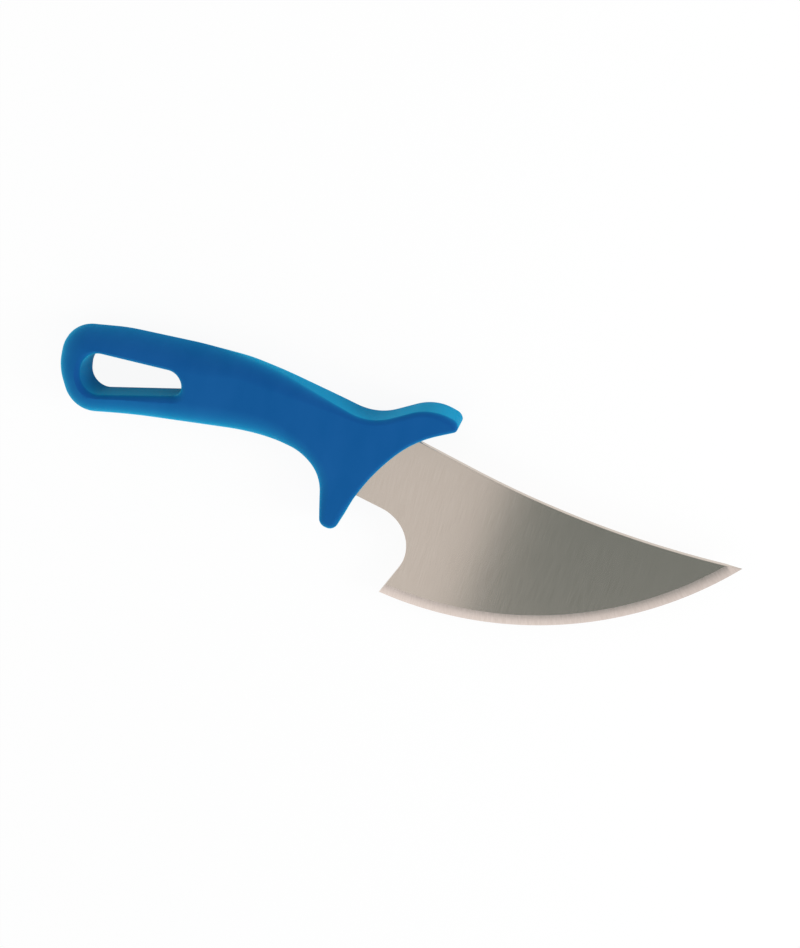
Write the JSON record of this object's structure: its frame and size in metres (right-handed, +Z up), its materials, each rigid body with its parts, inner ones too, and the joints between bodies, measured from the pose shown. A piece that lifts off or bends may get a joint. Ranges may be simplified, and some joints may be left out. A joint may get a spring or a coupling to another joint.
{
  "type": "pizza knife",
  "caption": "Fixed-blade pizza knife: a broad curved steel blade with a notched heel, its tang moulded into a plastic handle with thumb rest, finger guard and hanging slot.",
  "frame": {"origin": "on the handle's underside, in the middle of the finger guard, with the knife lying on its side", "axes": "+X from the butt towards the blade's tip, +Y from the cutting edge towards the spine, +Z up through the thickness, square to the blade's flat"},
  "size_m": [0.2998, 0.0889, 0.018],
  "materials": {
    "blade_steel": "satin ground, with a brighter ground bevel",
    "handle_plastic": "fine satin moulding"
  },
  "bodies": {
    "root": {"blade": "blade_steel", "handle": "handle_plastic"}
  },
  "joints": []
}
